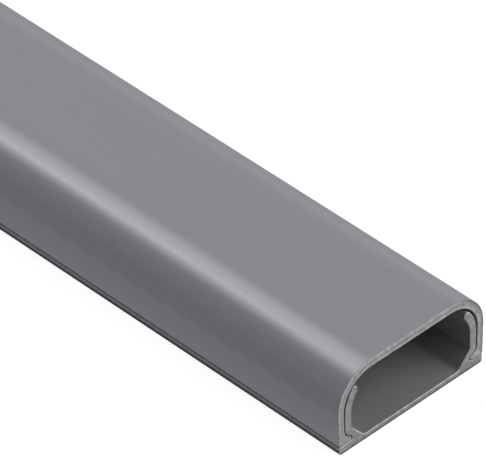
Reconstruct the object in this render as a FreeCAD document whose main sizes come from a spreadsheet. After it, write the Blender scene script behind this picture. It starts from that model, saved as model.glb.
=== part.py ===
import FreeCAD, Part
import Sketcher
import enum
import math
import os

# A surface raceway that hides a cord on a wall, as two straight extrusions of one length:
# a base with two curved legs, and a cover whose hooked feet catch under the heels of those legs.
#
# The origin is on the underside of the base, at the middle of its width and length.
# X runs across the raceway, Y along it and Z up from the wall to the cover's flat top.
# Both sections are drawn as their right half and mirrored.

# Driving sizes, in millimetres

SIZES = {
    # the stock as a whole
    "piece_length": 400.0,     # both extrusions are cut to this length
    "cover_width": 30.0,       # over the widest part of the shoulders
    "cover_height": 14.6,      # from the underside of the base to the top of the cover
    "end_break": 0.12,         # small bevel round the outline of each cut end

    # the cover
    "cover_top": 1.5,          # wall of the flat top
    "cover_wall": 1.25,        # wall of the shoulders and the sides
    "shoulder_radius": 6.9,    # outside radius of the rounded shoulders
    "foot_inset": 0.15,        # how far each side has leaned in by the time it reaches its foot
    "foot_corner": 0.25,       # outside radius at the bottom of each side
    "toe_length": 1.5,         # how far the toe of the hook reaches in from the wall
    "toe_radius": 0.43,        # round nose of the toe, half its thickness
    "hook_radius": 1.8,        # hollow inside the hook, between the wall and the toe

    # how the two fit
    "seam_gap": 0.15,          # play all round the hook, and the seam seen along each side
    "leg_gap": 0.1,            # play of each leg beside the cover's wall, at the foot
    "tip_gap": 1.8,            # headroom over the tips of the legs
    "bend_drop": 0.9,          # a leg starts to curve this far below the shoulder of the cover
    "bend_ease": 1.1,          # a leg curves on a radius larger than the inside of the shoulder

    # the base
    "floor_thickness": 1.1,    # the channel's floor, between the legs
    "ledge_thickness": 1.45,   # the strip outside each leg, under the cover's foot
    "edge_setback": 0.25,      # the base is narrower than the cover by this on each side
    "edge_radius": 0.5,        # rounded lower edge along each side of the base
    "leg_thickness": 1.28,     # wall of the legs, which stand over the channel's sides
    "tip_radius": 0.55,        # rounded outer corner of a leg's tip
    "web_width": 2.5,          # sloped web that stiffens the foot of a leg, along the floor
    "web_height": 2.8,         # the same web, up the leg
    "web_radius": 1.15,        # hollow between that web and the floor
}

# Places that both sections share, as expressions of the sheet's sizes

SHOULDER_X = "Sizes.cover_width / 2 - Sizes.shoulder_radius"
SHOULDER_Z = "Sizes.cover_height - Sizes.shoulder_radius"
FOOT_X = "Sizes.cover_width / 2 - Sizes.foot_inset"
INSIDE_RADIUS = "Sizes.shoulder_radius - Sizes.cover_wall"
INSIDE_Z = f"Sizes.cover_height - Sizes.cover_top - ({INSIDE_RADIUS})"
TOE_X = "Sizes.cover_width / 2 - Sizes.cover_wall - Sizes.toe_length + Sizes.toe_radius"
SOLE_Z = "Sizes.ledge_thickness + Sizes.seam_gap"
LEG_X = f"{FOOT_X} - Sizes.cover_wall - Sizes.leg_gap"
BEND_RADIUS = f"{INSIDE_RADIUS} + Sizes.bend_ease"
TIP_Z = "Sizes.cover_height - Sizes.cover_top - Sizes.tip_gap"


class Point(enum.IntEnum):
    """The points of a run, as the sketcher numbers them."""

    START = 1
    END = 2
    CENTRE = 3


class Fixed(enum.IntEnum):
    """The sketcher's own origin and upright axis, which the sections are drawn from."""

    ORIGIN = -1
    UPRIGHT_AXIS = -2


class Toward(enum.IntEnum):
    """Directions on the section, in degrees anticlockwise from the raceway's right."""

    UNDER = -90
    RIGHT = 0
    UP = 90
    LEFT = 180
    DOWN = 270


class Section:
    """A closed outline on a sketch, drawn as a chain of lines and arcs.

    The coordinates of a run are only where it starts out. Constraints shape it from there,
    driven by the sizes of the sheet.
    """

    def __init__(self, body, name):
        self.sketch = body.newObject("Sketcher::SketchObject", name)
        self.sketch.AttachmentSupport = (origin_plane(body, "XZ_Plane"), [""])
        self.sketch.MapMode = "FlatFace"
        self.runs = []

    def hold(self, kind, *places):
        """Add one constraint and return its number."""
        return self.sketch.addConstraint(Sketcher.Constraint(kind, *places))

    def size(self, name, kind, expression, *places):
        """Add a named dimension that follows an expression of the sheet's sizes."""
        value = float(self.sketch.evalExpression(expression))
        self.sketch.renameConstraint(self.hold(kind, *places, value), name)
        self.sketch.setExpression(f"Constraints.{name}", expression)

    def across(self, name, expression, run, point):
        """Hold a point at a distance from the middle of the raceway."""
        self.size(name, "DistanceX", expression, Fixed.ORIGIN, Point.START, run, point)

    def height(self, name, expression, run, point):
        """Hold a point at a height over the underside of the base."""
        self.size(name, "DistanceY", expression, Fixed.ORIGIN, Point.START, run, point)

    def radius(self, name, expression, run):
        self.size(name, "Radius", expression, run)

    def line(self, start, end, smooth=True):
        """Add a straight run, tangent to the run before it unless they meet at a corner."""
        segment = Part.LineSegment(FreeCAD.Vector(*start, 0), FreeCAD.Vector(*end, 0))
        return self.join(segment, Point.START, Point.END, smooth)

    def arc(self, centre, radius, first, last, smooth=True):
        """Add a run from one direction round to another, clockwise where the second is less."""
        circle = Part.Circle(FreeCAD.Vector(*centre, 0), FreeCAD.Vector(0, 0, 1), radius)
        ends = sorted((math.radians(first), math.radians(last)))
        entry, leave = (Point.START, Point.END) if last > first else (Point.END, Point.START)
        return self.join(Part.ArcOfCircle(circle, *ends), entry, leave, smooth)

    def join(self, geometry, entry, leave, smooth):
        run = self.sketch.addGeometry(geometry, False)
        if self.runs:
            last, _, last_leave = self.runs[-1]
            self.hold("Tangent" if smooth else "Coincident", last, last_leave, run, entry)
        self.runs.append((run, entry, leave))
        return run

    def close(self):
        """Bring the last run back to the start of the first, up the middle of the raceway."""
        first, entry, _ = self.runs[0]
        last, _, leave = self.runs[-1]
        self.hold("Coincident", last, leave, first, entry)
        self.hold("PointOnObject", first, entry, Fixed.UPRIGHT_AXIS)
        self.hold("Vertical", last)


def origin_plane(body, role):
    """Return one of the body's own origin planes."""
    return next(plane for plane in body.Origin.OriginFeatures if plane.Role == role)


def hollow_over(toe, toe_radius, wall_x, hollow_radius):
    """Centre of the hollow that touches a wall and the toe, and its direction from the toe."""
    across = wall_x - hollow_radius - toe[0]
    up = math.sqrt((hollow_radius + toe_radius) ** 2 - across ** 2)
    return (toe[0] + across, toe[1] + up), math.degrees(math.atan2(up, across))


def draw_cover(body):
    """Draw the right half of the cover, clockwise from the middle of its top."""
    half = SIZES["cover_width"] / 2
    top = SIZES["cover_height"]
    under = top - SIZES["cover_top"]
    wall = SIZES["cover_wall"]
    outside = SIZES["shoulder_radius"]
    inside = outside - wall
    shoulder = (half - outside, top - outside)
    hollow_shoulder = (shoulder[0], under - inside)
    sole_z = SIZES["ledge_thickness"] + SIZES["seam_gap"]
    foot_x = half - SIZES["foot_inset"]
    corner = SIZES["foot_corner"]
    nose = SIZES["toe_radius"]
    toe = (half - wall - SIZES["toe_length"] + nose, sole_z + nose)
    hollow, over = hollow_over(toe, nose, half - wall, SIZES["hook_radius"])
    lean = math.degrees(math.atan2(SIZES["foot_inset"], shoulder[1] - sole_z))

    draw = Section(body, "CoverSection")
    top_out = draw.line((0, top), (shoulder[0], top))
    shoulder_out = draw.arc(shoulder, outside, Toward.UP, Toward.RIGHT - lean)
    side_out = draw.line((half, shoulder[1]), (foot_x, sole_z + corner))
    corner_out = draw.arc((foot_x - corner, sole_z + corner), corner, Toward.RIGHT - lean, Toward.UNDER)
    sole = draw.line((foot_x - corner, sole_z), (toe[0], sole_z))
    toe_nose = draw.arc(toe, nose, Toward.DOWN, over)
    hook = draw.arc(hollow, SIZES["hook_radius"], over - Toward.LEFT, Toward.RIGHT - lean)
    side_in = draw.line((half - wall, hollow[1]), (half - wall, hollow_shoulder[1]))
    shoulder_in = draw.arc(hollow_shoulder, inside, Toward.RIGHT - lean, Toward.UP)
    top_in = draw.line((shoulder[0], under), (0, under))
    draw.line((0, under), (0, top), smooth=False)
    draw.close()

    for level in (top_out, sole, top_in):
        draw.hold("Horizontal", level)
    draw.hold("Parallel", side_in, side_out)
    draw.hold("Vertical", shoulder_in, Point.CENTRE, shoulder_out, Point.CENTRE)
    draw.height("Top", "Sizes.cover_height", top_out, Point.START)
    draw.across("Shoulder", SHOULDER_X, shoulder_out, Point.CENTRE)
    draw.radius("ShoulderOutside", "Sizes.shoulder_radius", shoulder_out)
    draw.height("InsideShoulder", INSIDE_Z, shoulder_in, Point.CENTRE)
    draw.radius("ShoulderInside", INSIDE_RADIUS, shoulder_in)
    draw.across("Foot", f"{FOOT_X} - Sizes.foot_corner", corner_out, Point.CENTRE)
    draw.radius("FootCorner", "Sizes.foot_corner", corner_out)
    draw.height("Sole", SOLE_Z, sole, Point.START)
    draw.across("Toe", TOE_X, toe_nose, Point.CENTRE)
    draw.radius("ToeNose", "Sizes.toe_radius", toe_nose)
    draw.radius("HookHollow", "Sizes.hook_radius", hook)
    return draw.sketch


def draw_base(body):
    """Draw the right half of the base, anticlockwise from the middle of its underside."""
    half = SIZES["cover_width"] / 2
    edge_x = half - SIZES["edge_setback"]
    edge = SIZES["edge_radius"]
    ledge_z = SIZES["ledge_thickness"]
    floor_z = SIZES["floor_thickness"]
    groove = SIZES["toe_radius"] + SIZES["seam_gap"]
    toe_x = half - SIZES["cover_wall"] - SIZES["toe_length"] + SIZES["toe_radius"]
    toe = (toe_x, ledge_z + groove)
    leg_x = half - SIZES["cover_wall"] - SIZES["foot_inset"] - SIZES["leg_gap"]
    leg = SIZES["leg_thickness"]
    heel_radius = SIZES["hook_radius"] - SIZES["seam_gap"]
    heel_centre, over = hollow_over(toe, groove, leg_x, heel_radius)
    bend_radius = SIZES["shoulder_radius"] - SIZES["cover_wall"] + SIZES["bend_ease"]
    bend = (leg_x - bend_radius, SIZES["cover_height"] - SIZES["shoulder_radius"] - SIZES["bend_drop"])
    tip = SIZES["tip_radius"]
    tip_rise = SIZES["cover_height"] - SIZES["cover_top"] - SIZES["tip_gap"] - tip - bend[1]
    tip_run = math.sqrt((bend_radius - tip) ** 2 - tip_rise ** 2)
    tip_centre = (bend[0] + tip_run, bend[1] + tip_rise)
    tip_face_x = tip_centre[0] - tip
    outer_end = math.degrees(math.atan2(tip_rise, tip_run))
    inner_end = math.degrees(math.acos((tip_run - tip) / (bend_radius - leg)))
    web_top = (leg_x - leg, floor_z + SIZES["web_height"])
    web_foot = (web_top[0] - SIZES["web_width"], floor_z)
    slope = math.degrees(math.atan2(SIZES["web_height"], SIZES["web_width"]))
    web = SIZES["web_radius"]
    web_end = web_foot[0] - web * math.tan(math.radians(slope / 2))

    draw = Section(body, "BaseSection")
    underside = draw.line((0, 0), (edge_x - edge, 0))
    edge_round = draw.arc((edge_x - edge, edge), edge, Toward.UNDER, Toward.RIGHT)
    edge_face = draw.line((edge_x, edge), (edge_x, ledge_z))
    ledge = draw.line((edge_x, ledge_z), (toe_x, ledge_z), smooth=False)
    groove_round = draw.arc(toe, groove, Toward.DOWN, over)
    heel = draw.arc(heel_centre, heel_radius, over - Toward.LEFT, Toward.RIGHT)
    leg_out = draw.line((leg_x, heel_centre[1]), (leg_x, bend[1]))
    bend_out = draw.arc(bend, bend_radius, Toward.RIGHT, outer_end)
    tip_round = draw.arc(tip_centre, tip, outer_end, Toward.LEFT)
    tip_face = draw.line((tip_face_x, tip_centre[1]), (tip_face_x, tip_centre[1] - tip))
    bend_in = draw.arc(bend, bend_radius - leg, inner_end, Toward.RIGHT, smooth=False)
    leg_in = draw.line((leg_x - leg, bend[1]), web_top)
    web_face = draw.line(web_top, web_foot, smooth=False)
    web_round = draw.arc((web_end, floor_z + web), web, slope - Toward.UP, Toward.UNDER)
    floor = draw.line((web_end, floor_z), (0, floor_z))
    draw.line((0, floor_z), (0, 0), smooth=False)
    draw.close()

    for level in (underside, ledge, floor):
        draw.hold("Horizontal", level)
    for upright in (edge_face, leg_out, tip_face, leg_in):
        draw.hold("Vertical", upright)
    draw.hold("Coincident", bend_in, Point.CENTRE, bend_out, Point.CENTRE)
    draw.height("Underside", "0", underside, Point.START)
    draw.across("Edge", "Sizes.cover_width / 2 - Sizes.edge_setback", edge_face, Point.START)
    draw.radius("EdgeRound", "Sizes.edge_radius", edge_round)
    draw.height("Ledge", "Sizes.ledge_thickness", ledge, Point.START)
    draw.across("Toe", TOE_X, groove_round, Point.CENTRE)
    draw.radius("Groove", "Sizes.toe_radius + Sizes.seam_gap", groove_round)
    draw.radius("Heel", "Sizes.hook_radius - Sizes.seam_gap", heel)
    draw.across("Leg", LEG_X, leg_out, Point.START)
    draw.height("Bend", f"{SHOULDER_Z} - Sizes.bend_drop", bend_out, Point.CENTRE)
    draw.radius("BendOutside", BEND_RADIUS, bend_out)
    draw.radius("BendInside", f"{BEND_RADIUS} - Sizes.leg_thickness", bend_in)
    draw.height("Tip", f"{TIP_Z} - Sizes.tip_radius", tip_round, Point.CENTRE)
    draw.radius("TipRound", "Sizes.tip_radius", tip_round)
    draw.height("Floor", "Sizes.floor_thickness", floor, Point.START)
    draw.height("WebTop", "Sizes.floor_thickness + Sizes.web_height", web_face, Point.START)
    web_corner = draw.sketch.addGeometry(Part.Point(FreeCAD.Vector(*web_foot, 0)), True)
    draw.hold("PointOnObject", web_corner, Point.START, web_face)
    draw.hold("PointOnObject", web_corner, Point.START, floor)
    draw.size("WebFoot", "DistanceX", "Sizes.web_width", web_corner, Point.START, web_face, Point.START)
    draw.radius("WebRound", "Sizes.web_radius", web_round)
    return draw.sketch


def extrude(body, sketch):
    """Run the half section along the raceway and mirror it to the full width."""
    pad = body.newObject("PartDesign::Pad", f"{body.Name}Pad")
    pad.Profile = sketch
    pad.SideType = "Symmetric"
    pad.setExpression("Length", "Sizes.piece_length")
    mirrored = body.newObject("PartDesign::Mirrored", f"{body.Name}Mirrored")
    mirrored.Originals = [pad]
    mirrored.MirrorPlane = (origin_plane(body, "YZ_Plane"), [""])
    mirrored.Refine = True
    body.Tip = mirrored
    body.Document.recompute()
    return mirrored


def break_ends(body, feature):
    """Bevel the outline of both cut ends, as a deburring knife leaves it."""
    box = feature.Shape.BoundBox
    names = []
    for number, edge in enumerate(feature.Shape.Edges, start=1):
        reach = edge.BoundBox
        if reach.YMax == reach.YMin and abs(reach.YMax) > box.YLength / 4:
            names.append(f"Edge{number}")
    bevel = body.newObject("PartDesign::Chamfer", f"{body.Name}EndBreak")
    bevel.Base = (feature, names)
    bevel.setExpression("Size", "Sizes.end_break")
    body.Tip = bevel
    return bevel


def make_piece(doc, label, draw_section):
    """Make one extrusion as a body of its own."""
    body = doc.addObject("PartDesign::Body", label.capitalize())
    body.Label = label
    break_ends(body, extrude(body, draw_section(body)))
    return body


def make_sheet(doc):
    """Keep every driving size in a sheet, one alias for each."""
    sheet = doc.addObject("Spreadsheet::Sheet", "Sizes")
    for row, (alias, value) in enumerate(SIZES.items(), start=1):
        sheet.set(f"A{row}", alias)
        sheet.set(f"B{row}", str(value))
        sheet.setAlias(f"B{row}", alias)
    doc.recompute()


def check(doc, pieces):
    """Stop if a feature failed or a piece isn't one sound solid."""
    for item in doc.Objects:
        if "Invalid" in item.State or "Error" in item.State:
            raise RuntimeError(f"{item.Name} failed: {item.State}")
    for piece in pieces:
        shape = piece.Shape
        if shape.isNull() or not shape.isValid() or len(shape.Solids) != 1:
            raise RuntimeError(f"{piece.Label} is not one sound solid")


def main():
    doc = FreeCAD.newDocument("CordCoverRaceway")
    make_sheet(doc)
    pieces = [make_piece(doc, "base", draw_base), make_piece(doc, "cover", draw_cover)]
    doc.recompute()
    check(doc, pieces)
    os.makedirs("parts", exist_ok=True)
    for piece in pieces:
        piece.Shape.exportStep(f"parts/{piece.Label}.step")


main()
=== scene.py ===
import math

import bpy
from mathutils import Euler, Matrix, Vector


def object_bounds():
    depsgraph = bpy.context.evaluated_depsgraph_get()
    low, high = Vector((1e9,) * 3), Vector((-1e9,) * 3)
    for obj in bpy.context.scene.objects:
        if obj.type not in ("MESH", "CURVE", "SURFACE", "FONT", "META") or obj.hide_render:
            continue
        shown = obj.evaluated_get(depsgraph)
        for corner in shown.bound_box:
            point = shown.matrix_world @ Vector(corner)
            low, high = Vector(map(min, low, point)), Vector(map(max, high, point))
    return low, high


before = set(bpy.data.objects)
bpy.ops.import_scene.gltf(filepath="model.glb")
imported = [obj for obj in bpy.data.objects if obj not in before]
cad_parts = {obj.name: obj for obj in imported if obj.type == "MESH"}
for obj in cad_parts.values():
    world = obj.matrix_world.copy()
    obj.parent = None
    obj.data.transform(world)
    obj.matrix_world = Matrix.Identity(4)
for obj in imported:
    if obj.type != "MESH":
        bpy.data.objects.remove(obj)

cad_box = [list(corner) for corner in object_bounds()]

MM = 0.001

# The raceway: half of its length as the frame gives it, half of the base's width, and how far in from
# each end the edges are broken
HALF_LENGTH = cad_box[1][1]
FOOT_HALF_WIDTH = 14.75 * MM
END_BREAK = 0.12 * MM

# The camera looks along the raceway from its left front corner, a long way off
CAMERA_AIM = Vector((-9.943, -175.689, 25.723)) * MM
CAMERA_DISTANCE = 852.1 * MM
CAMERA_AZIMUTH = math.radians(-43.35)
CAMERA_ELEVATION = math.radians(39.43)
CAMERA_ROLL = math.radians(-1.264)
CAMERA_LENS = 438.4
CAMERA_SENSOR = 36

# Soft boxes: the way to each from near the cut end, its width and height, and its power
LAMP_AIM = Vector((0, -150, 10)) * MM
LAMP_DISTANCE = 3.0
LAMPS = {
    "overhead_left_box": ((-0.228, 0.562, 0.795), (1.28, 0.7), 14.2),
    "overhead_box": ((0.058, 0.562, 0.825), (1.72, 0.7), 23.4),
    "front_right_box": ((0.49, -0.63, 0.61), (3.4, 2.6), 83.0),
    "left_box": ((-0.93, 0.20, 0.12), (1.0, 0.6), 4.0),
}

# The surroundings: the light that they give the raceway, and how bright they are to the eye
WHITE = (1, 1, 1, 1)
WORLD_LIGHT = 0.055
WORLD_SHOWN = 1.0

# The floor lights the raceway as a pale grey. To the eye it is a darker grey, which takes the shadow,
# under a glow that lifts it to white
FLOOR_SIZE = 6.0
FLOOR_DROP = 0.02 * MM
FLOOR_COLOUR = (0.52, 0.52, 0.52, 1)
FLOOR_SHOWN = (0.2, 0.2, 0.2, 1)
FLOOR_GLOW = 0.91

# From here on, a range of four numbers is where it starts, where it ends, and the values there.
# The floor as the plastic mirrors it, by the distance from the foot: a painted contact shadow, then a
# painted glow that falls off beside the foot and comes back a little further out, in a painted tint
CONTACT = (0.3 * MM, 1.4 * MM, 0.03, 1.0)
NEAR_GLOW = (0.0, 6.0 * MM, 1.60, 0.72)
FAR_GLOW = (6.0 * MM, 13.0 * MM, 1.0, 1.26)
MIRRORED_TINT = (1.0, 0.98, 1.06)

# The grey PVC of each extrusion as it leaves the die: its colour, its roughness and how much is added
# to that at a slant, how much its die lines and its broad bands show, and how much painted light (below
# 0, painted shade) its broken edge gets over the cut face, first left and then right of the turn
COVER_FINISH = {
    "grey": (0.249, 0.235, 0.265),
    "roughness": 0.295,
    "dullness": 0.55,
    "line_depth": 0.05,
    "band_depth": 0.02,
    "edge_painted_light": (-0.45, -0.15),
}
BASE_FINISH = {
    "grey": (0.248, 0.239, 0.253),
    "roughness": 0.34,
    "dullness": 0.05,
    "line_depth": 0.07,
    "band_depth": 0.03,
    "edge_painted_light": (1.0, 0.2),
}
SLANT_SPAN = (0.45, 0.78)
ROUGHNESS_SPREAD = 0.03
EDGE_TURN = (12.4 * MM, 13.4 * MM)

# Patterns along the die: their size across the section and along it, how much of the grain goes into
# the relief, and how deep that is
FINE_LINES = (0.35 * MM, 90 * MM)
BROAD_BANDS = (3.5 * MM, 160 * MM)
SATIN_GRAIN = (0.16 * MM, 0.22 * MM)
GRAIN_SHARE = 0.35
DIE_RELIEF = 0.0012 * MM

# The paler face that a saw leaves: its colour and roughness, the sizes and gains of its mottle and of
# its slanting marks, how much of the mottle goes into the relief, and how deep that is
SAWN_GREY = (0.338, 0.322, 0.328)
SAWN_ROUGHNESS = 0.78
MOTTLE_SIZE = (0.75 * MM, 0.75 * MM)
MOTTLE_GAINS = (0.76, 1.24)
MARK_SIZE = (0.10 * MM, 1.0 * MM, 1.6 * MM)
MARK_SLANT = math.radians(28)
MARK_GAINS = (0.90, 1.09)
MOTTLE_SHARE = 1.5
SAWN_RELIEF = 0.02 * MM

# The part of a noise that is spread over the values made from it
NOISE_SPAN = (0.3, 0.7)
GRAIN_SPAN = (0.25, 0.75)

# Where the sawn colour and the flat of the cut face set in, as shares of the broken edge
SAWN_SPAN = (1.0, 0.8)
FLAT_SPAN = (0.25, 0.05)

# Painted highlights along the cut face's edges, on the cover's outside and inside. Each has half the
# flat, the middle and the radius of the curve that it follows, how far it reaches into the wall, and its
# gain. It is full over the first share of that reach, and fades towards one side of the cover
OUTSIDE_PAINTED_HIGHLIGHT = (8.1 * MM, 7.7 * MM, 6.9 * MM, 0.55 * MM, 0.50)
INSIDE_PAINTED_HIGHLIGHT = (8.1 * MM, 7.45 * MM, 5.65 * MM, 0.66 * MM, 0.44)
LINE_FULL = 0.4
OUTSIDE_FADE = (8 * MM, 14 * MM, 1.0, -0.8)
INSIDE_FADE = (-14 * MM, -9 * MM, 0.1, 1.0)

# Painted shade along the foot of the base by height, on its long sides and on the cut face: darker
# low down, where the base meets the floor
FOOT_PAINTED_SHADE = (0.64 * MM, 1.09 * MM, 0.05, 1.0)
CUT_FOOT_PAINTED_SHADE = (0.25 * MM, 0.65 * MM, 0.35, 1.0)

# The inputs and the output of a Mix node for numbers and for colours
MIX_SOCKETS = {"FLOAT": (2, 3, 0), "RGBA": (6, 7, 2)}


def feed(tree, node, key, value):
    """Give an input a value, or link it to a socket."""
    socket = node.inputs[key]
    if isinstance(value, bpy.types.NodeSocket):
        tree.links.new(value, socket)
    else:
        socket.default_value = value


def put(tree, kind, settings=None, **sockets):
    """Add a node, set its own settings, and feed its inputs by name with values or with sockets."""
    node = tree.nodes.new(kind)
    for key, value in (settings or {}).items():
        setattr(node, key, value)
    for key, value in sockets.items():
        feed(tree, node, key, value)
    return node


def math_node(tree, operation, first, second=None, third=None, clamp=False):
    """A Math node on up to three values, and its result."""
    node = put(tree, "ShaderNodeMath", {"operation": operation, "use_clamp": clamp})
    for index, value in enumerate((first, second, third)):
        if value is not None:
            feed(tree, node, index, value)
    return node.outputs[0]


def feed_range(tree, value, low, high, to_low=0.0, to_high=1.0):
    """Carry a value smoothly from one range to another, and hold it there."""
    node = put(tree, "ShaderNodeMapRange", {"interpolation_type": "SMOOTHSTEP", "clamp": True})
    for index, part in enumerate((value, low, high, to_low, to_high)):
        feed(tree, node, index, part)
    return node.outputs[0]


def mix(tree, kind, amount, first, second):
    """From the first to the second of two numbers or colours, by an amount from 0 to 1."""
    node = put(tree, "ShaderNodeMix", {"data_type": kind})
    first_input, second_input, output = MIX_SOCKETS[kind]
    feed(tree, node, 0, amount)
    feed(tree, node, first_input, first)
    feed(tree, node, second_input, second)
    return node.outputs[output]


def scaled(tree, colour, gain):
    """A colour made lighter or darker by a gain."""
    node = put(tree, "ShaderNodeVectorMath", {"operation": "SCALE"}, Scale=gain)
    feed(tree, node, 0, colour)
    return node.outputs[0]


def stretched(tree, place, across, along):
    """Scale a place so that a pattern has one size across the section and another along it."""
    node = put(tree, "ShaderNodeVectorMath", {"operation": "MULTIPLY"})
    feed(tree, node, 0, place)
    feed(tree, node, 1, (1 / across, 1 / along, 1 / across))
    return node.outputs[0]


def noise(tree, vector, detail, roughness=0.5, distortion=0.0):
    node = put(tree, "ShaderNodeTexNoise", {"noise_dimensions": "3D"}, Vector=vector, Scale=1.0,
               Detail=detail, Roughness=roughness, Distortion=distortion)
    return node.outputs["Fac"]


def object_place(tree):
    return put(tree, "ShaderNodeTexCoord").outputs["Object"]


def axes(tree, place):
    """The X, Y and Z of a place."""
    return put(tree, "ShaderNodeSeparateXYZ", Vector=place).outputs


def place_group(name, *results):
    """A shader node group that makes the named values from a place, with that place and its end."""
    tree = bpy.data.node_groups.new(name, "ShaderNodeTree")
    tree.interface.new_socket(name="Place", in_out="INPUT", socket_type="NodeSocketVector")
    for label in results:
        tree.interface.new_socket(name=label, in_out="OUTPUT", socket_type="NodeSocketFloat")
    place = tree.nodes.new("NodeGroupInput").outputs["Place"]
    return tree, place, tree.nodes.new("NodeGroupOutput")


def make_die_lines():
    """Faint lines that the die draws along the whole length, and the satin grain between them."""
    tree, place, result = place_group("Die lines", "Lines", "Bands", "Grain")
    fine = noise(tree, stretched(tree, place, *FINE_LINES), detail=3.0, roughness=0.55)
    broad = noise(tree, stretched(tree, place, *BROAD_BANDS), detail=1.0, distortion=0.2)
    grain = noise(tree, stretched(tree, place, *SATIN_GRAIN), detail=2.0, roughness=0.6)
    feed(tree, result, "Lines", fine)
    feed(tree, result, "Bands", broad)
    feed(tree, result, "Grain", grain)
    return tree


def make_saw_face():
    """Where the saw went through: masks of the cut face and its broken edge, and the marks on it."""
    tree, place, result = place_group("Saw face", "Face", "Edge", "Mottle", "Marks")
    reach = math_node(tree, "ABSOLUTE", axes(tree, place)["Y"])
    face, flat = (
        feed_range(tree, reach, *(HALF_LENGTH - share * END_BREAK for share in span))
        for span in (SAWN_SPAN, FLAT_SPAN)
    )
    edge = math_node(tree, "SUBTRACT", face, flat, clamp=True)
    blotches = noise(tree, stretched(tree, place, *MOTTLE_SIZE), detail=4.0, roughness=0.65)
    turned = put(tree, "ShaderNodeMapping", {"vector_type": "POINT"}, Vector=place,
                 Rotation=(0, MARK_SLANT, 0), Scale=tuple(1 / size for size in MARK_SIZE))
    marks = noise(tree, turned.outputs[0], detail=3.0, roughness=0.6, distortion=0.4)
    feed(tree, result, "Face", face)
    feed(tree, result, "Edge", edge)
    feed(tree, result, "Mottle", blotches)
    feed(tree, result, "Marks", marks)
    return tree


def painted_edge_highlight(tree, place, line, inward, fade):
    """Gain of a painted highlight on the cut face along one side of the cover's wall."""
    flat, middle, radius, reach, gain = line
    where = axes(tree, place)
    across = math_node(tree, "SUBTRACT", math_node(tree, "ABSOLUTE", where["X"]), flat)
    across = math_node(tree, "MAXIMUM", across, 0.0)
    above = math_node(tree, "MAXIMUM", math_node(tree, "SUBTRACT", where["Z"], middle), 0.0)
    out = math_node(tree, "SQRT", math_node(
        tree, "MULTIPLY_ADD", across, across, math_node(tree, "MULTIPLY", above, above)))
    highlight_gain = feed_range(
        tree, out, radius + inward * reach, radius + inward * LINE_FULL * reach, 0.0, gain)
    return math_node(tree, "MULTIPLY", highlight_gain, feed_range(tree, where["X"], *fade))


def cover_painted_highlights(tree, place):
    """Gain of both painted highlights: the outer one fades down the right side, the inner one down the
    left.
    """
    outside = painted_edge_highlight(tree, place, OUTSIDE_PAINTED_HIGHLIGHT, -1, OUTSIDE_FADE)
    inside = painted_edge_highlight(tree, place, INSIDE_PAINTED_HIGHLIGHT, 1, INSIDE_FADE)
    return math_node(tree, "ADD", outside, inside)


def extruded_plastic(name, groups, grey, roughness, dullness, line_depth, band_depth, edge_painted_light,
                     lines=None, foot=False):
    """Satin PVC with die lines on its long faces and sawn ends."""
    material = bpy.data.materials.new(name)
    material.use_nodes = True
    tree = material.node_tree
    shader = tree.nodes["Principled BSDF"]
    place = object_place(tree)
    where = axes(tree, place)

    die = put(tree, "ShaderNodeGroup", {"node_tree": groups["die"]}, Place=place).outputs
    saw = put(tree, "ShaderNodeGroup", {"node_tree": groups["saw"]}, Place=place).outputs

    shade = math_node(tree, "MULTIPLY_ADD", die["Lines"], line_depth, 1 - line_depth / 2)
    shade = math_node(tree, "MULTIPLY", shade, feed_range(
        tree, die["Bands"], *NOISE_SPAN, 1 - band_depth / 2, 1 + band_depth / 2))
    # Painted shade on the long faces: darker towards the foot
    if foot:
        shade = math_node(tree, "MULTIPLY", shade, feed_range(tree, where["Z"], *FOOT_PAINTED_SHADE))

    mottle = feed_range(tree, saw["Mottle"], *NOISE_SPAN, *MOTTLE_GAINS)
    marks = feed_range(tree, saw["Marks"], *NOISE_SPAN, *MARK_GAINS)
    # Painted light and painted shade on the cut face's broken edge, changing at the turn
    gain = math_node(tree, "MULTIPLY_ADD", saw["Edge"], feed_range(
        tree, where["X"], *EDGE_TURN, *edge_painted_light), 1.0)
    # Painted highlights along the edges of the cover's cut face
    if lines:
        gain = math_node(tree, "ADD", gain, lines(tree, place))
    # Painted shade on the cut face: darker towards the foot
    if foot:
        gain = math_node(tree, "MULTIPLY", gain, feed_range(tree, where["Z"], *CUT_FOOT_PAINTED_SHADE))
    sawn_shade = math_node(tree, "MULTIPLY", math_node(tree, "MULTIPLY", mottle, marks), gain)

    feed(tree, shader, "Base Color", mix(
        tree, "RGBA", saw["Face"], scaled(tree, grey, shade), scaled(tree, SAWN_GREY, sawn_shade)))

    satin = feed_range(tree, die["Grain"], *GRAIN_SPAN,
                       roughness - ROUGHNESS_SPREAD, roughness + ROUGHNESS_SPREAD)
    slant = put(tree, "ShaderNodeLayerWeight", Blend=0.5).outputs["Facing"]
    satin = math_node(tree, "ADD", satin, feed_range(tree, slant, *SLANT_SPAN, 0.0, dullness))
    feed(tree, shader, "Roughness", mix(tree, "FLOAT", saw["Face"], satin, SAWN_ROUGHNESS))

    along = math_node(tree, "MULTIPLY_ADD", die["Grain"], GRAIN_SHARE, die["Lines"])
    cut = math_node(tree, "MULTIPLY_ADD", saw["Mottle"], MOTTLE_SHARE, saw["Marks"])
    height = mix(tree, "FLOAT", saw["Face"],
                 math_node(tree, "MULTIPLY", along, DIE_RELIEF),
                 math_node(tree, "MULTIPLY", cut, SAWN_RELIEF))
    bump = put(tree, "ShaderNodeBump", Height=height, Distance=1.0, Strength=1.0)
    feed(tree, shader, "Normal", bump.outputs[0])
    return material


def finish_node(name, material):
    """Give a CAD node its material in every slot."""
    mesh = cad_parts[name].data
    for slot in range(len(mesh.materials)):
        mesh.materials[slot] = material


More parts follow.
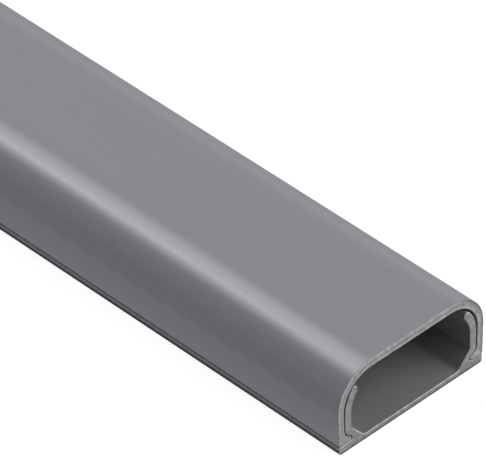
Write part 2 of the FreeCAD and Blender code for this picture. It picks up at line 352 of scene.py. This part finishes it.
def seen_ray(tree):
    """One where a ray is the camera's, or was mirrored or let through on its way from it."""
    path = put(tree, "ShaderNodeLightPath")
    seen = math_node(tree, "MAXIMUM", path.outputs["Is Camera Ray"], path.outputs["Is Glossy Ray"])
    return math_node(tree, "MAXIMUM", seen, path.outputs["Is Transmission Ray"])


def mirrored_floor(tree):
    """White to the eye. To a mirrored ray, a painted contact shadow right under the foot and a painted
    glow, lightest just beside it.
    """
    where = axes(tree, object_place(tree))
    gaps = []
    for side, half in (("X", FOOT_HALF_WIDTH), ("Y", HALF_LENGTH)):
        gap = math_node(tree, "SUBTRACT", math_node(tree, "ABSOLUTE", where[side]), half)
        gaps.append(math_node(tree, "MAXIMUM", gap, 0.0))
    away = math_node(tree, "MAXIMUM", *gaps)
    # Painted contact shadow and painted glow on the floor as it is mirrored
    lit = feed_range(tree, away, *CONTACT)
    for glow in (NEAR_GLOW, FAR_GLOW):
        lit = math_node(tree, "MULTIPLY", lit, feed_range(tree, away, *glow))
    glossy = put(tree, "ShaderNodeLightPath").outputs["Is Glossy Ray"]
    return mix(tree, "RGBA", glossy, WHITE, scaled(tree, MIRRORED_TINT, lit))


def make_floor():
    """A plain pale floor that shows white and still takes a soft shadow."""
    bpy.ops.mesh.primitive_plane_add(size=FLOOR_SIZE, location=(0, 0, -FLOOR_DROP))
    floor = bpy.context.object
    floor.name = "floor"
    material = bpy.data.materials.new("pale_floor")
    material.use_nodes = True
    tree = material.node_tree
    tree.nodes.remove(tree.nodes["Principled BSDF"])
    pale = put(tree, "ShaderNodeBsdfDiffuse", Color=FLOOR_COLOUR)
    dark = put(tree, "ShaderNodeBsdfDiffuse", Color=FLOOR_SHOWN)
    glow = put(tree, "ShaderNodeEmission", Color=mirrored_floor(tree), Strength=FLOOR_GLOW)
    shown = put(tree, "ShaderNodeAddShader")
    feed(tree, shown, 0, dark.outputs[0])
    feed(tree, shown, 1, glow.outputs[0])
    floor_shader = put(tree, "ShaderNodeMixShader")
    feed(tree, floor_shader, 0, seen_ray(tree))
    feed(tree, floor_shader, 1, pale.outputs[0])
    feed(tree, floor_shader, 2, shown.outputs[0])
    feed(tree, tree.nodes["Material Output"], "Surface", floor_shader.outputs[0])
    floor.data.materials.append(material)


def make_world():
    """Plain white to the eye and in reflections, and a softer light on the raceway."""
    world = bpy.data.worlds.new("studio")
    bpy.context.scene.world = world
    world.use_nodes = True
    tree = world.node_tree
    background = tree.nodes["Background"]
    feed(tree, background, "Color", WHITE)
    feed(tree, background, "Strength", mix(tree, "FLOAT", seen_ray(tree), WORLD_LIGHT, WORLD_SHOWN))


def make_lamps():
    """The soft boxes, each turned to face the raceway's near end."""
    for name, (way, size, power) in LAMPS.items():
        lamp = bpy.data.lights.new(name, "AREA")
        lamp.shape = "RECTANGLE"
        lamp.size, lamp.size_y = size
        lamp.energy = power
        box = bpy.data.objects.new(name, lamp)
        way = Vector(way).normalized()
        box.location = LAMP_AIM + way * LAMP_DISTANCE
        box.rotation_euler = way.to_track_quat("Z", "Y").to_euler()
        bpy.context.scene.collection.objects.link(box)


def make_camera():
    eye = bpy.data.cameras.new("camera")
    eye.lens = CAMERA_LENS
    eye.sensor_width = CAMERA_SENSOR
    camera = bpy.data.objects.new("camera", eye)
    back = Vector((
        math.sin(CAMERA_AZIMUTH) * math.cos(CAMERA_ELEVATION),
        -math.cos(CAMERA_AZIMUTH) * math.cos(CAMERA_ELEVATION),
        math.sin(CAMERA_ELEVATION),
    ))
    camera.location = CAMERA_AIM + back * CAMERA_DISTANCE
    upright = Euler((math.pi / 2 - CAMERA_ELEVATION, 0, CAMERA_AZIMUTH)).to_matrix()
    camera.rotation_euler = (upright @ Matrix.Rotation(CAMERA_ROLL, 3, "Z")).to_euler()
    bpy.context.scene.collection.objects.link(camera)
    bpy.context.scene.camera = camera


groups = {"die": make_die_lines(), "saw": make_saw_face()}
finish_node("cover", extruded_plastic("cover_plastic_finish", groups, **COVER_FINISH, lines=cover_painted_highlights))
finish_node("base", extruded_plastic("base_plastic_finish", groups, **BASE_FINISH, foot=True))

make_floor()
make_world()
make_lamps()
make_camera()

bpy.context.scene.view_settings.view_transform = "Standard"
